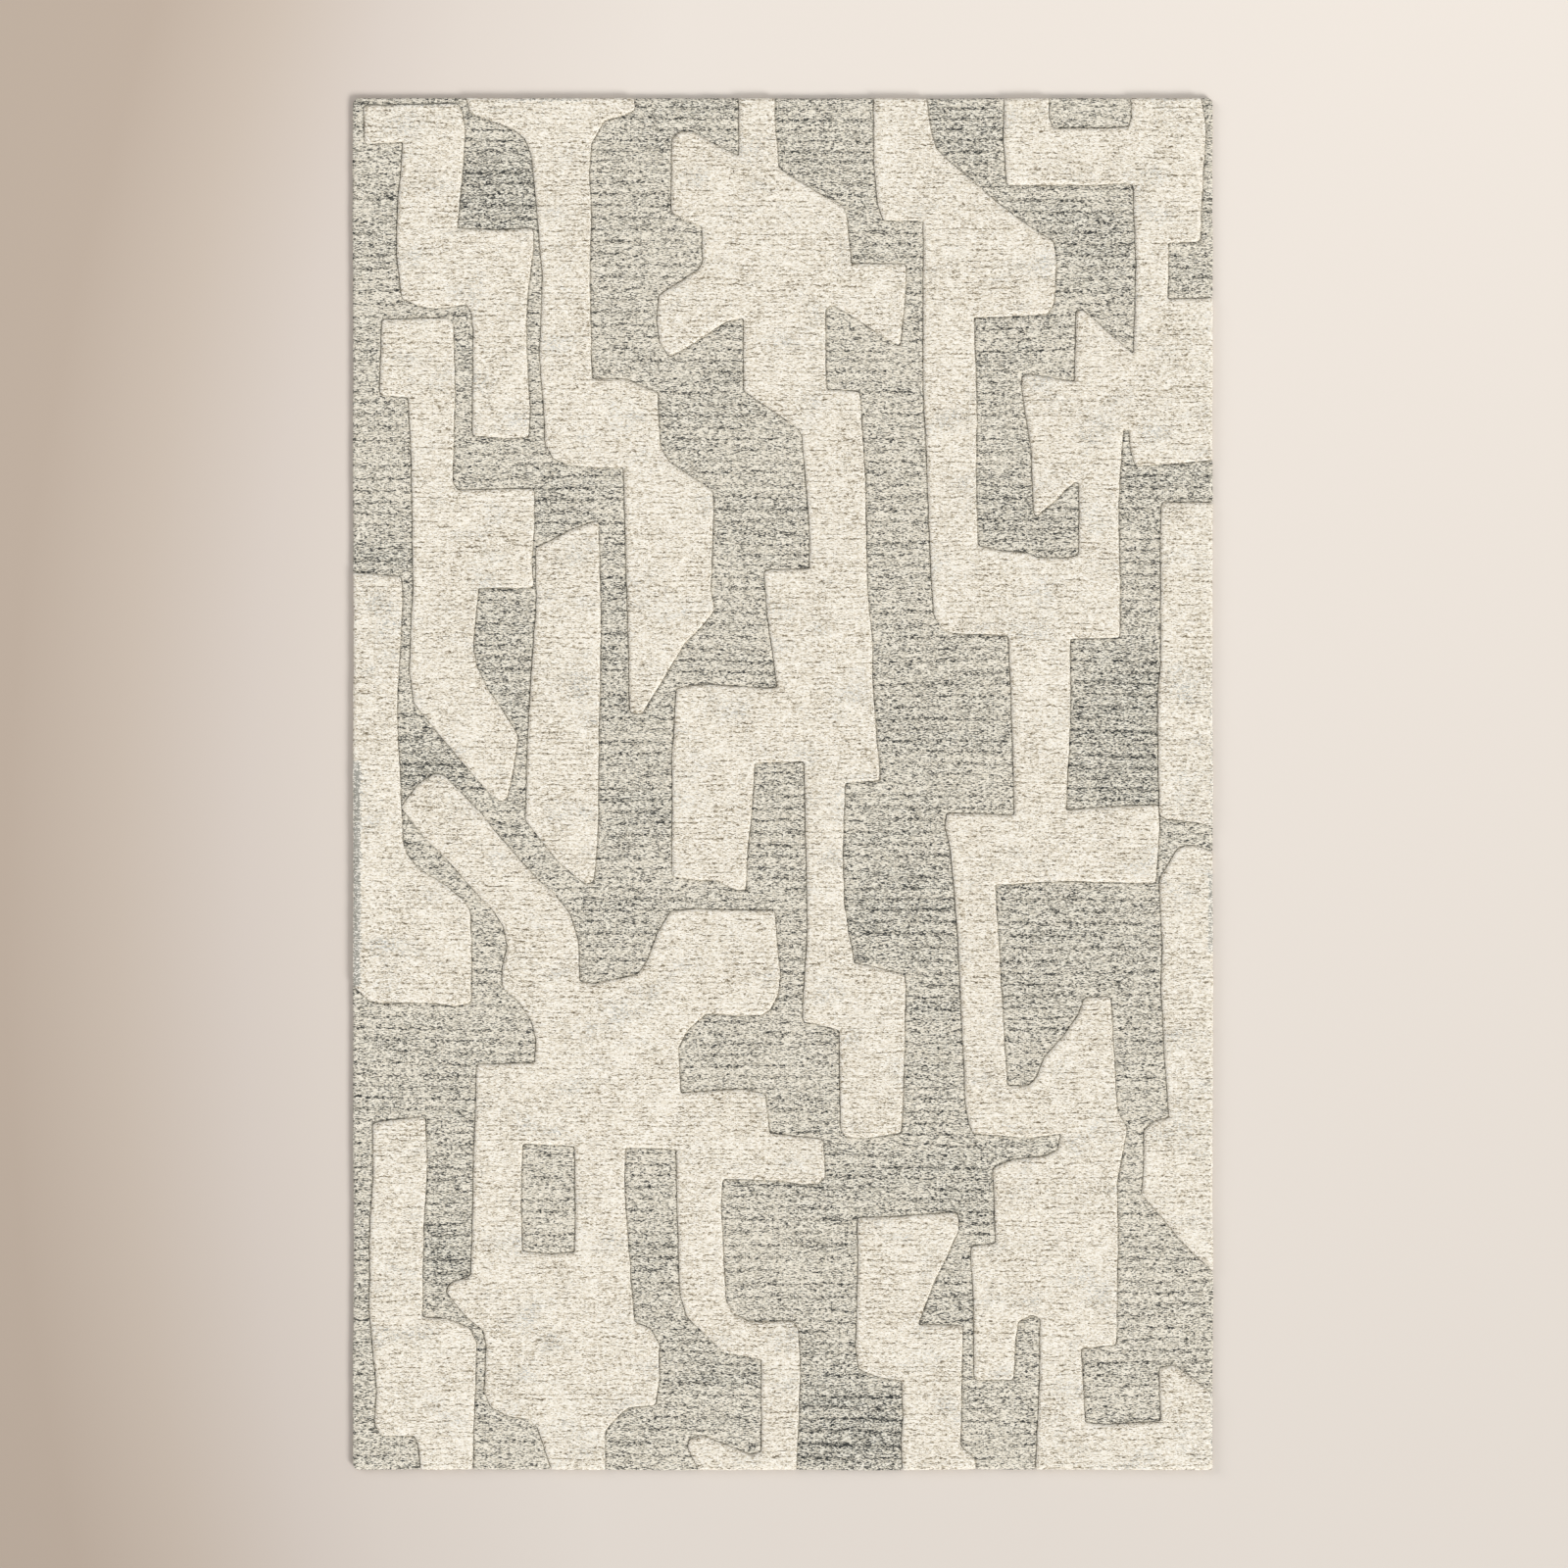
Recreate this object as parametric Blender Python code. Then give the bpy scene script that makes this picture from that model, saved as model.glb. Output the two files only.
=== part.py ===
"""Hand-tufted area rug with a raised cream pattern on a lower heather ground, lying flat, head end at +Y."""

import math

import bmesh
import bpy
from mathutils import Vector

for old in list(bpy.data.objects):
    bpy.data.objects.remove(old)

MM = 0.001
CM = 0.01

# Overall sizes
RUG_WIDTH = 1524 * MM
RUG_LENGTH = 2438 * MM
CREAM_PILE_HEIGHT = 9.3 * MM
HEATHER_PILE_HEIGHT = 5.6 * MM

# Layers under the pile
BACKING_THICKNESS = 0.9 * MM
BACKING_INSET = 12 * MM
CLOTH_THICKNESS = 0.9 * MM
CLOTH_INSET = 3 * MM
HEM_WIDTH = 38 * MM
SCRIM_THICKNESS = 0.6 * MM
ADHESIVE_THICKNESS = 0.8 * MM
THREAD_WIDTH = 1.2 * MM
THREAD_HEIGHT = 0.8 * MM
LAYER_GAP = 0.3 * MM

# Pile outlines
CARVED_GAP = 2 * MM
SHOULDER_WIDTH = 3 * MM
SHOULDER_DROP = 2.5 * MM
CORNER_RADIUS = 4 * MM
RUG_CORNER_RADIUS = 12 * MM
CLOTH_CORNER_RADIUS = 6 * MM
ARC_STEP = math.radians(40)
LEAST_ROUNDED_TURN = math.radians(25)
LONGEST_TANGENT_SHARE = 0.42
CUTTER_MARGIN = 5 * MM
EDGE_TOLERANCE = 0.5 * MM

# Heights of the layers above the floor, from the bottom up
BACKING_TOP = BACKING_THICKNESS
HEM_BOTTOM = BACKING_TOP + LAYER_GAP
HEM_TOP = HEM_BOTTOM + CLOTH_THICKNESS
ADHESIVE_BOTTOM = HEM_TOP + LAYER_GAP
ADHESIVE_TOP = ADHESIVE_BOTTOM + ADHESIVE_THICKNESS
CLOTH_BOTTOM = ADHESIVE_TOP + LAYER_GAP
CLOTH_TOP = CLOTH_BOTTOM + CLOTH_THICKNESS
PILE_BOTTOM = CLOTH_TOP + LAYER_GAP

# The pattern is drawn in centimetres from the rug's middle, on a rug of this size, and is scaled to fit.
PATTERN_WIDTH = 152.4 * CM
PATTERN_LENGTH = 243.8 * CM

UPPER_LEFT_STEM = (
    (-74.3, 120.5), (-58.3, 120.9), (-57.4, 119.6), (-56.9, 116), (-57.2, 110.5), (-57.6, 105),
    (-58.3, 98.6), (-50, 98.3), (-44.7, 98.6), (-44.7, 95), (-45.6, 88), (-46, 82), (-45.9, 76),
    (-45.3, 67), (-45.5, 61.8), (-49, 61.6), (-55.4, 62), (-55.1, 80), (-55.5, 83.8), (-56.6, 85.3),
    (-62, 84.5), (-65, 85.1), (-67.9, 86.3), (-68.7, 94), (-68.5, 102), (-67.6, 114.2), (-74.2, 113.9),
)
LEFT_CENTRE_TREE = (
    (-56.4, 121.9), (-55.8, 119.4), (-48, 116.5), (-46, 114.8), (-44.7, 111.5), (-43.7, 101), (-42.8, 90),
    (-42.9, 84), (-43.4, 77), (-42.6, 66), (-42.4, 60.5), (-41, 58), (-38.5, 56.9), (-34, 56.4),
    (-28.4, 56.4), (-28, 42), (-27.5, 24), (-27.3, 12.8), (-25.3, 12.6), (-22.3, 17.5), (-17.8, 25),
    (-15, 27.8), (-12.4, 30.9), (-13.1, 34.5), (-12.7, 48), (-12.8, 52), (-20.5, 57.2), (-22.2, 59.8),
    (-22.6, 69.6), (-25, 70.4), (-28, 71.8), (-34.3, 72), (-34.7, 92), (-34.4, 100), (-34.8, 109),
    (-34.4, 114), (-32.2, 118), (-28.5, 119), (-26.7, 120), (-26.9, 121.9),
)
LEFT_STEM = (
    (-71.4, 82.5), (-60, 82.7), (-59, 81.8), (-58.7, 70), (-59.1, 53.8), (-58.2, 52.2), (-54, 52.2),
    (-44.5, 52.4), (-44.5, 46), (-45, 40), (-44.7, 35), (-54.5, 34.9), (-55.3, 24), (-54.7, 21),
    (-53, 17.2), (-50, 13), (-47.3, 8.7), (-48.5, 1), (-49.4, -2.4), (-50.3, -3), (-52.5, -1.3),
    (-60, 7.3), (-65.8, 14.5), (-66.5, 20), (-65.8, 35), (-66.2, 57), (-66.7, 68.9), (-71.8, 69.3),
)
LEFT_EDGE_BLOCK = (
    (-76.2, 37.4), (-68.2, 36.8), (-67.9, 34), (-69, 13), (-68.3, 0), (-67.9, -10.5), (-67, -12.8),
    (-65, -15.2), (-60, -18.3), (-57, -20.8), (-55.8, -23), (-55.7, -38.8), (-58.5, -39.5), (-63, -38.7),
    (-71.5, -38.9), (-73.6, -38.4), (-76.2, -35.6),
)
LEFT_BAR = (
    (-44, 41.9), (-41, 43.3), (-38, 44.9), (-33.1, 46.7), (-32.7, 29), (-33.2, -8), (-33.9, -17.3),
    (-35.2, -17.8), (-40, -13.8), (-45.8, -6.5), (-45.6, 3), (-44.9, 18), (-44, 31),
)
CENTRE_TREE = (
    (-7.9, 121.9), (-7.9, 111.4), (-13.5, 114.2), (-16.4, 115.9), (-18.5, 115.8), (-19.8, 114.5),
    (-20, 101.8), (-17.5, 100.3), (-14.5, 99.3), (-14.3, 93), (-15, 91.6), (-22.2, 86.7), (-22.5, 82),
    (-22, 78.5), (-20.3, 76), (-17.5, 77.5), (-10.5, 82.2), (-7, 83), (-7, 70), (2.5, 63.4), (3.3, 62),
    (4.1, 52), (4.7, 44), (4.6, 38.2), (-3.4, 37.8), (-2.8, 30), (-1, 17), (-5, 17), (-14, 17.7),
    (-19, 16.8), (-19.8, 4), (-19.8, -16.4), (-17, -16.9), (-11.5, -17.1), (-8.8, -18.6), (-6.8, -18.9),
    (-6.7, -14), (-5.5, -1), (-5.4, 3.8), (3.6, 4.1), (4.1, -14), (4.3, -26), (3.7, -34), (3.4, -42.2),
    (6, -42.6), (9.9, -43.8), (10.2, -61.5), (11, -62.8), (15, -62.8), (20.8, -62), (21.2, -54),
    (21.4, -36), (21.2, -34), (12.2, -31.9), (10.6, -22), (10.3, -12), (10.7, 0.3), (16.9, 0.8),
    (15.6, 19), (15.5, 27), (14.7, 34), (14.2, 56), (13.4, 69.8), (7.5, 70), (7.3, 84.5), (8.5, 85.3),
    (12, 83.3), (20.6, 78), (21.5, 88), (21.6, 92.3), (11.8, 92.3), (11, 101), (10.3, 102.8),
    (7.5, 104.2), (1, 108), (-1.1, 109.7), (-1.8, 119), (-1.8, 121.9),
)
RIGHT_TREE = (
    (16.1, 121.9), (25.3, 121.9), (26, 116.5), (27, 112.9), (29.5, 110.5), (41, 100.7), (45, 98),
    (47.8, 96.4), (48.2, 93), (47.9, 85.5), (46.8, 83.6), (40, 83.2), (33.7, 83.1), (34.1, 68),
    (33.9, 56), (34.4, 42.3), (38.5, 41.4), (43, 41), (45, 40.2), (50, 40.1), (52.5, 40.6), (52.6, 53.8),
    (51.6, 53.9), (49.6, 52), (47.6, 50), (44.6, 47.6), (44.1, 59), (42.4, 70.2), (42.4, 72.3),
    (43.5, 72.8), (51.8, 71.4), (52.1, 84.2), (53.3, 84), (57, 80.8), (62.3, 76), (62.7, 92),
    (62.2, 106.6), (61, 107.1), (56, 106.6), (39.7, 106.5), (39.1, 114), (39.3, 121.9), (46.9, 121.9),
    (47, 118), (47.8, 116.3), (61.4, 116.6), (61.9, 118.5), (61.9, 121.9), (74, 121.9), (74.9, 117),
    (73.8, 96.6), (68.2, 96.4), (68.1, 86), (76.2, 86.4), (76.2, 57.7), (71, 57.2), (62.5, 56.6),
    (61.8, 59), (61.4, 63), (60.2, 63.3), (59.3, 50), (59.6, 36), (59.6, 26.1), (50.8, 25.9), (50.7, 10),
    (50, -4.8), (60, -4.1), (66.57, -3.8), (66.7, -8), (66, -17.5), (50, -17.2), (37.4, -17.8), (38.4, -33),
    (39.5, -53.7), (43.5, -53.8), (45, -52), (46.5, -48.6), (49.8, -45), (52.5, -41), (53.5, -38.2),
    (57.9, -37.8), (59.1, -58), (60.8, -61.3), (59.1, -71), (59.3, -80), (59, -99.6), (52.7, -100.2),
    (53.4, -113.6), (57, -113.9), (67.1, -113.4), (66.8, -104), (69.5, -103.4), (72.5, -105.8),
    (76.2, -108.5), (76.2, -121.9), (44.8, -121.9), (45.6, -106), (45.7, -95), (44, -94.3), (41.6, -95.6),
    (41, -99), (40.7, -105.9), (33.9, -105.9), (33.8, -92), (33.3, -82.2), (37.8, -81.8), (37.3, -68.2),
    (41, -66.8), (46.5, -66.2), (48.8, -65.2), (49.4, -62), (44, -62.7), (33.6, -62), (32.5, -58),
    (31, -27), (29.8, -12), (28.8, -7.8), (29, -5.2), (41.2, -5.6), (40.7, 9), (40, 26.4), (30, 26.9),
    (28.2, 27.6), (26.8, 30), (26, 44), (24.9, 70), (24.9, 100.1), (17.6, 100.2), (16.7, 103), (16.1, 111),
)
RIGHT_EDGE_MIDDLE = (
    (67.4, 49.9), (76.2, 49.9), (76.2, -7.3), (71, -6.4), (67.9, -6.1), (66.9, -5.4), (66.7, 0), (66.6, 15),
    (67.1, 21), (67.1, 48),
)
RIGHT_EDGE_LOWER = (
    (67.1, -16.6), (69.9, -11.8), (71.5, -11), (73.5, -11.1), (76.2, -12.1), (76.2, -86.5), (73, -83.7),
    (70, -80.5), (67.3, -77), (63.7, -73), (64.1, -69), (64.1, -61.6), (66, -60), (68.6, -59.4),
    (67.9, -50), (67.1, -36), (67.4, -29), (66.9, -18),
)
LOWER_LEFT_TREE = (
    (-68.02, -4.2), (-65, -0.3), (-62.2, 1.6), (-60.6, 1.6), (-54, -5.2), (-49.5, -10.7), (-45, -15.8),
    (-40.5, -20), (-38.1, -23.3), (-36.7, -28), (-36.5, -35.2), (-33.8, -35.6), (-26, -34), (-24.3, -31.7),
    (-22.3, -26.5), (-20, -22.7), (-16, -22.3), (-1.8, -22.6), (-0.9, -34), (-1.1, -37.5), (-2.5, -40),
    (-4, -41.1), (-14, -40.8), (-17.3, -43.8), (-18.9, -47), (-18.5, -55.1), (-7, -54.4), (-3.5, -55.2),
    (-2.7, -62.3), (6.8, -63.3), (7.2, -70), (6, -71), (3, -71.1), (-0.5, -70.4), (-11, -70.2),
    (-11.3, -75), (-10.6, -91.5), (-9.5, -94.2), (-6, -95.8), (1.5, -95.6), (2.4, -97), (2.8, -105),
    (2, -121.9), (-15, -121.9), (-17.1, -118), (-16.8, -116.6), (-14.5, -115.9), (-6, -119.3),
    (-4, -118.8), (-3.9, -102.2), (-10.8, -101), (-17.3, -94.7), (-18.4, -91), (-19.1, -64.8),
    (-28.4, -64.6), (-28.4, -72), (-26.8, -95.8), (-24, -96.9), (-22.4, -99.7), (-22.4, -106),
    (-23, -110.2), (-27.8, -110.8), (-30.2, -112.8), (-31.9, -115), (-31.9, -121.9), (-41.2, -121.9),
    (-43.8, -114.2), (-45.5, -112.8), (-49, -112.3), (-52, -110.8), (-53.2, -108), (-52.8, -100),
    (-53.4, -97), (-56.3, -94.7), (-60, -90.2), (-59.2, -88.7), (-55.6, -87.5), (-54.5, -50),
    (-44.2, -49.7), (-44, -45.5), (-44.7, -42.3), (-47, -38.8), (-50, -36), (-50, -33), (-49.1, -29),
    (-49.8, -25.3), (-51.8, -22.3), (-55.8, -18), (-59.8, -13.5), (-64, -9.3),
)
LOWER_LEFT_WINDOW = (
    (-46.6, -63.8), (-37.2, -64.3), (-36.9, -76), (-37.1, -83.5), (-42, -83.7), (-46.7, -83.2), (-46.9, -74),
)
LOWER_LEFT_BAR = (
    (-73, -60.4), (-69.5, -59.8), (-63.8, -59.3), (-63.6, -69), (-64.3, -79), (-64.4, -94.8), (-60, -95.2),
    (-56, -96.7), (-54.8, -99), (-55.5, -121.9), (-64.5, -121.9), (-65, -117.5), (-65.6, -115.8),
    (-71.5, -115.8), (-72.6, -114), (-72.2, -108), (-73.5, -94), (-73.5, -78), (-72.9, -69),
)
LOWER_CENTRE_BLOCK = (
    (13.2, -77.2), (20, -77), (30.8, -76.2), (30.9, -79.5), (26.3, -89), (23.6, -96.3), (31.6, -96.4),
    (31.3, -117.7), (33.9, -120.2), (34, -121.9), (21.2, -121.9), (20.9, -117), (21.3, -113), (21, -106),
    (17, -105.5), (13.3, -103.9), (12.9, -100), (13.4, -85),
)
CREAM_AREAS = {
    "cream_pile_upper_left_stem": UPPER_LEFT_STEM,
    "cream_pile_left_centre_tree": LEFT_CENTRE_TREE,
    "cream_pile_left_stem": LEFT_STEM,
    "cream_pile_left_edge_block": LEFT_EDGE_BLOCK,
    "cream_pile_left_bar": LEFT_BAR,
    "cream_pile_centre_tree": CENTRE_TREE,
    "cream_pile_right_tree": RIGHT_TREE,
    "cream_pile_right_edge_middle": RIGHT_EDGE_MIDDLE,
    "cream_pile_right_edge_lower": RIGHT_EDGE_LOWER,
    "cream_pile_lower_left_tree": LOWER_LEFT_TREE,
    "cream_pile_lower_left_bar": LOWER_LEFT_BAR,
    "cream_pile_lower_centre_block": LOWER_CENTRE_BLOCK,
}

# A place in each stretch of the heather ground, in the pattern's centimetres: it names the stretch.
HEATHER_AREAS = {
    "heather_pile_main_ground": (-30, -25),
    "heather_pile_left_ground": (-65, -50),
    "heather_pile_upper_right_ground": (55, 95),
    "heather_pile_top_edge_block": (54, 119),
    "heather_pile_right_edge_upper": (72, 91),
    "heather_pile_right_middle_ground": (63, 40),
    "heather_pile_right_lower_ground": (45, -30),
    "heather_pile_lower_middle_ground": (-15, -108),
}


def material(name, colour, roughness):
    made = bpy.data.materials.new(name)
    made.use_nodes = True
    shader = made.node_tree.nodes["Principled BSDF"]
    shader.inputs["Base Color"].default_value = (*colour, 1)
    shader.inputs["Roughness"].default_value = roughness
    return made


def to_rug(corners):
    """The pattern's centimetres as metres on this rug."""
    across = CM * RUG_WIDTH / PATTERN_WIDTH
    along = CM * RUG_LENGTH / PATTERN_LENGTH
    return [Vector((x * across, y * along)) for x, y in corners]


def signed_area(corners):
    return sum(a.x * b.y - b.x * a.y for a, b in zip(corners, corners[1:] + corners[:1])) / 2


def anticlockwise(corners):
    return corners if signed_area(corners) > 0 else corners[::-1]


def grown(corners, distance):
    """The outline moved out by this distance along every side; a negative distance shrinks it."""
    corners = anticlockwise(corners)
    moved = []
    for i, corner in enumerate(corners):
        before = (corner - corners[i - 1]).normalized()
        after = (corners[(i + 1) % len(corners)] - corner).normalized()
        outward = Vector((before.y + after.y, -before.x - after.x)).normalized()
        half_turn_cosine = outward.dot(Vector((before.y, -before.x)))
        moved.append(corner + outward * distance / half_turn_cosine)
    return moved


def rounded(corners, radius):
    """The outline with each real corner replaced by a smooth arc, but not where it meets the rug's edge."""
    corners = anticlockwise(corners)
    points = []
    for i, corner in enumerate(corners):
        at_side = abs(corner.x) > RUG_WIDTH / 2 - EDGE_TOLERANCE
        at_end = abs(corner.y) > RUG_LENGTH / 2 - EDGE_TOLERANCE
        if at_side != at_end:  # the rug's own corners are still rounded
            points.append(corner)
            continue
        to_last = corners[i - 1] - corner
        to_next = corners[(i + 1) % len(corners)] - corner
        turn = math.pi - to_last.angle(to_next)
        if turn < LEAST_ROUNDED_TURN:
            points.append(corner)
            continue
        longest = LONGEST_TANGENT_SHARE * min(to_last.length, to_next.length)
        tangent = min(radius * math.tan(turn / 2), longest)
        start = corner + to_last.normalized() * tangent
        end = corner + to_next.normalized() * tangent
        steps = max(1, round(turn / ARC_STEP))
        for step in range(steps + 1):
            share = step / steps
            points.append(
                start * (1 - share) ** 2 + corner * 2 * share * (1 - share) + end * share**2
            )
    return points


def rectangle(inset, radius):
    x = RUG_WIDTH / 2 - inset
    y = RUG_LENGTH / 2 - inset
    corners = [Vector((x, -y)), Vector((x, y)), Vector((-x, y)), Vector((-x, -y))]
    return rounded(corners, radius)


def slab(name, outline, bottom, top, colour=None, shoulder=False):
    """A flat solid with this outline, with its upper rim sloped down where it has a shoulder."""
    mesh = bmesh.new()
    face = mesh.faces.new([mesh.verts.new((point.x, point.y, bottom)) for point in outline])
    rim = top - SHOULDER_DROP if shoulder else top
    raised = bmesh.ops.extrude_face_region(mesh, geom=[face])["geom"]
    upper = [item for item in raised if isinstance(item, bmesh.types.BMFace)]
    corners = [item for item in raised if isinstance(item, bmesh.types.BMVert)]
    bmesh.ops.translate(mesh, vec=(0, 0, rim - bottom), verts=corners)
    if shoulder:
        bmesh.ops.recalc_face_normals(mesh, faces=mesh.faces)
        bmesh.ops.inset_region(
            mesh,
            faces=upper,
            thickness=SHOULDER_WIDTH,
            depth=SHOULDER_DROP,
            use_even_offset=True,
        )
    bmesh.ops.recalc_face_normals(mesh, faces=mesh.faces)
    data = bpy.data.meshes.new(name)
    mesh.to_mesh(data)
    mesh.free()
    made = bpy.data.objects.new(name, data)
    bpy.context.scene.collection.objects.link(made)
    if colour:
        data.materials.append(colour)
    return made


def cut(target, outline, bottom, top):
    """Takes a straight-sided hole with this outline out of the target, as a modifier."""
    cutter = slab(target.name + "_cutter", outline, bottom, top)
    cutter.hide_render = True
    cutter.display_type = "WIRE"
    boolean = target.modifiers.new("cut", "BOOLEAN")
    boolean.operation = "DIFFERENCE"
    boolean.solver = "EXACT"
    boolean.object = cutter


def contains(corners, place):
    """Whether the place lies inside the outline."""
    inside = False
    for a, b in zip(corners, corners[1:] + corners[:1]):
        if (a.y > place.y) == (b.y > place.y):
            continue
        if place.x < a.x + (b.x - a.x) * (place.y - a.y) / (b.y - a.y):
            inside = not inside
    return inside


def pieces_of(source):
    """The separate bodies that the source's modifiers leave, each as its own mesh."""
    graph = bpy.context.evaluated_depsgraph_get()
    whole = bmesh.new()
    whole.from_object(source, graph)
    left = set(whole.faces)
    while left:
        reached = {left.pop()}
        front = list(reached)
        while front:
            for edge in front.pop().edges:
                for face in edge.link_faces:
                    if face not in reached:
                        reached.add(face)
                        front.append(face)
        left -= reached
        piece = bmesh.new()
        copies = {}
        for face in reached:
            for corner in face.verts:
                if corner not in copies:
                    copies[corner] = piece.verts.new(corner.co)
            piece.faces.new([copies[corner] for corner in face.verts])
        yield piece
    whole.free()


def covers(piece, place, height):
    """Whether one of the piece's upper faces lies over the place."""
    for face in piece.faces:
        corners = [vert.co for vert in face.verts]
        if min(corner.z for corner in corners) < height:
            continue
        if contains([corner.xy for corner in corners], place):
            return True
    return False


cream_wool = material("cream_wool_pile", (0.80, 0.74, 0.62), 0.95)
heather_wool = material("heather_wool_pile", (0.52, 0.49, 0.42), 0.96)
tufting_cloth = material("cotton_tufting_cloth", (0.74, 0.70, 0.60), 0.9)
adhesive = material("latex_adhesive", (0.62, 0.57, 0.44), 0.6)
scrim_net = material("cotton_scrim", (0.80, 0.78, 0.72), 0.9)
canvas = material("cotton_canvas_backing", (0.66, 0.60, 0.48), 0.92)
thread = material("cotton_thread", (0.78, 0.73, 0.62), 0.85)

# Backing cloth, with the thread that whips its edge down on the hem
slab(
    "backing_cloth",
    rectangle(BACKING_INSET, CLOTH_CORNER_RADIUS),
    0,
    BACKING_TOP,
    canvas,
)
thread_inset = BACKING_INSET - LAYER_GAP - THREAD_WIDTH
whip_stitch = slab(
    "backing_whip_stitch",
    rectangle(thread_inset, CLOTH_CORNER_RADIUS + LAYER_GAP + THREAD_WIDTH),
    BACKING_TOP - THREAD_HEIGHT,
    BACKING_TOP,
    thread,
)
cut(
    whip_stitch,
    rectangle(BACKING_INSET - LAYER_GAP, CLOTH_CORNER_RADIUS + LAYER_GAP),
    -CUTTER_MARGIN,
    CUTTER_MARGIN,
)

# Tufting cloth, with its margin folded under as a hem
tufted_cloth = slab(
    "tufting_cloth_with_hem",
    rectangle(CLOTH_INSET, CLOTH_CORNER_RADIUS),
    HEM_BOTTOM,
    CLOTH_TOP,
    tufting_cloth,
)
fold_inset = CLOTH_INSET + CLOTH_THICKNESS
cut(tufted_cloth, rectangle(fold_inset, CLOTH_CORNER_RADIUS), HEM_TOP, CLOTH_BOTTOM)
hem_inset = CLOTH_INSET + HEM_WIDTH
cut(
    tufted_cloth,
    rectangle(hem_inset, CLOTH_CORNER_RADIUS),
    HEM_BOTTOM - CUTTER_MARGIN,
    HEM_TOP + LAYER_GAP / 2,
)

# Adhesive coat inside the fold, and the scrim net between the hems
slab(
    "latex_adhesive_coat",
    rectangle(fold_inset + LAYER_GAP, CLOTH_CORNER_RADIUS),
    ADHESIVE_BOTTOM,
    ADHESIVE_TOP,
    adhesive,
)
slab(
    "scrim_net",
    rectangle(hem_inset + LAYER_GAP, CLOTH_CORNER_RADIUS),
    HEM_TOP - SCRIM_THICKNESS,
    HEM_TOP,
    scrim_net,
)

# Raised cream pile
cream_top = PILE_BOTTOM + CREAM_PILE_HEIGHT
for area_name, pattern in CREAM_AREAS.items():
    area = slab(
        area_name,
        rounded(to_rug(pattern), CORNER_RADIUS),
        PILE_BOTTOM,
        cream_top,
        cream_wool,
        shoulder=True,
    )
    if pattern is LOWER_LEFT_TREE:
        window = rounded(to_rug(LOWER_LEFT_WINDOW), CORNER_RADIUS)
        cut(area, window, PILE_BOTTOM - CUTTER_MARGIN, cream_top + CUTTER_MARGIN)

# Lower heather ground: the rug's whole outline less every cream area and the carved gap round it
heather_top = PILE_BOTTOM + HEATHER_PILE_HEIGHT
whole_ground = slab(
    "ground_before_carving",
    rectangle(0, RUG_CORNER_RADIUS),
    PILE_BOTTOM,
    heather_top,
    heather_wool,
)
for pattern in CREAM_AREAS.values():
    carved = rounded(grown(to_rug(pattern), CARVED_GAP), CORNER_RADIUS)
    cut(whole_ground, carved, PILE_BOTTOM - CUTTER_MARGIN, heather_top + CUTTER_MARGIN)
places = {area_name: to_rug([place])[0] for area_name, place in HEATHER_AREAS.items()}
for piece in list(pieces_of(whole_ground)):
    for area_name, place in places.items():
        if covers(piece, place, heather_top - LAYER_GAP):
            data = bpy.data.meshes.new(area_name)
            piece.to_mesh(data)
            data.materials.append(heather_wool)
            bpy.context.scene.collection.objects.link(bpy.data.objects.new(area_name, data))
    piece.free()
whole_ground.hide_render = True
whole_ground.display_type = "WIRE"
slab(
    "heather_pile_lower_left_window",
    rounded(grown(to_rug(LOWER_LEFT_WINDOW), -CARVED_GAP), CORNER_RADIUS),
    PILE_BOTTOM,
    heather_top,
    heather_wool,
)
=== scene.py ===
import math

import bmesh
import bpy
import numpy as np
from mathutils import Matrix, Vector, kdtree, noise
from mathutils.geometry import delaunay_2d_cdt


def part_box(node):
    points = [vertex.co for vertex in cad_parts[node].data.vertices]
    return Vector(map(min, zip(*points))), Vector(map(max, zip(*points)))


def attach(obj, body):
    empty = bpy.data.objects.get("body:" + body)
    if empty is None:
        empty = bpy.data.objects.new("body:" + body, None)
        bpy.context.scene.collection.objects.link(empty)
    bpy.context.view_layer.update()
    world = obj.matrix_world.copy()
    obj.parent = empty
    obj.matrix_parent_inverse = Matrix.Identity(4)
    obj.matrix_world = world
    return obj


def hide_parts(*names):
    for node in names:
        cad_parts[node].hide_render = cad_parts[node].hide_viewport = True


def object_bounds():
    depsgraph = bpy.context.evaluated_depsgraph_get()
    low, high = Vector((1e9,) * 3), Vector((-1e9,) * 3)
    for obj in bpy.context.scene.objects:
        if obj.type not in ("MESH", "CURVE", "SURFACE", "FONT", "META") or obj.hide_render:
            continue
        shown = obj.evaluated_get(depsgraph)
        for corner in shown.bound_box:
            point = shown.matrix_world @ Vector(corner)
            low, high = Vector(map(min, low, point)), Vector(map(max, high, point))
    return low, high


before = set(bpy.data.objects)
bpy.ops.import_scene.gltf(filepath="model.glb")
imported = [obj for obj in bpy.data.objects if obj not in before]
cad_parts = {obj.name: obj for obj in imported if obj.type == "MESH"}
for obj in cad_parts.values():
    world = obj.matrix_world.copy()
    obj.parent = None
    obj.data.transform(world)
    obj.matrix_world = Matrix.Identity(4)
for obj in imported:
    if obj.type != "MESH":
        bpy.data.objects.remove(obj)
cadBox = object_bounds()
rugWidth = cadBox[1][0] - cadBox[0][0]
rugLength = cadBox[1][1] - cadBox[0][1]
mm = 0.001
cm = 0.01
bpy.ops.object.select_all(action="DESELECT")


def ripple(places, across, along, layer):
    # smooth random numbers, about -1 to 1, at each place; across and along are waves in a metre
    return np.array([noise.noise((x * across, y * along, layer)) for x, y in places])


def ripples(places, layers):
    return sum(reach * ripple(places, *waves) for reach, *waves in layers)


def easeIn(value, low, high):
    share = np.clip((value - low) / (high - low), 0, 1)
    return share * share * (3 - 2 * share)


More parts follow.
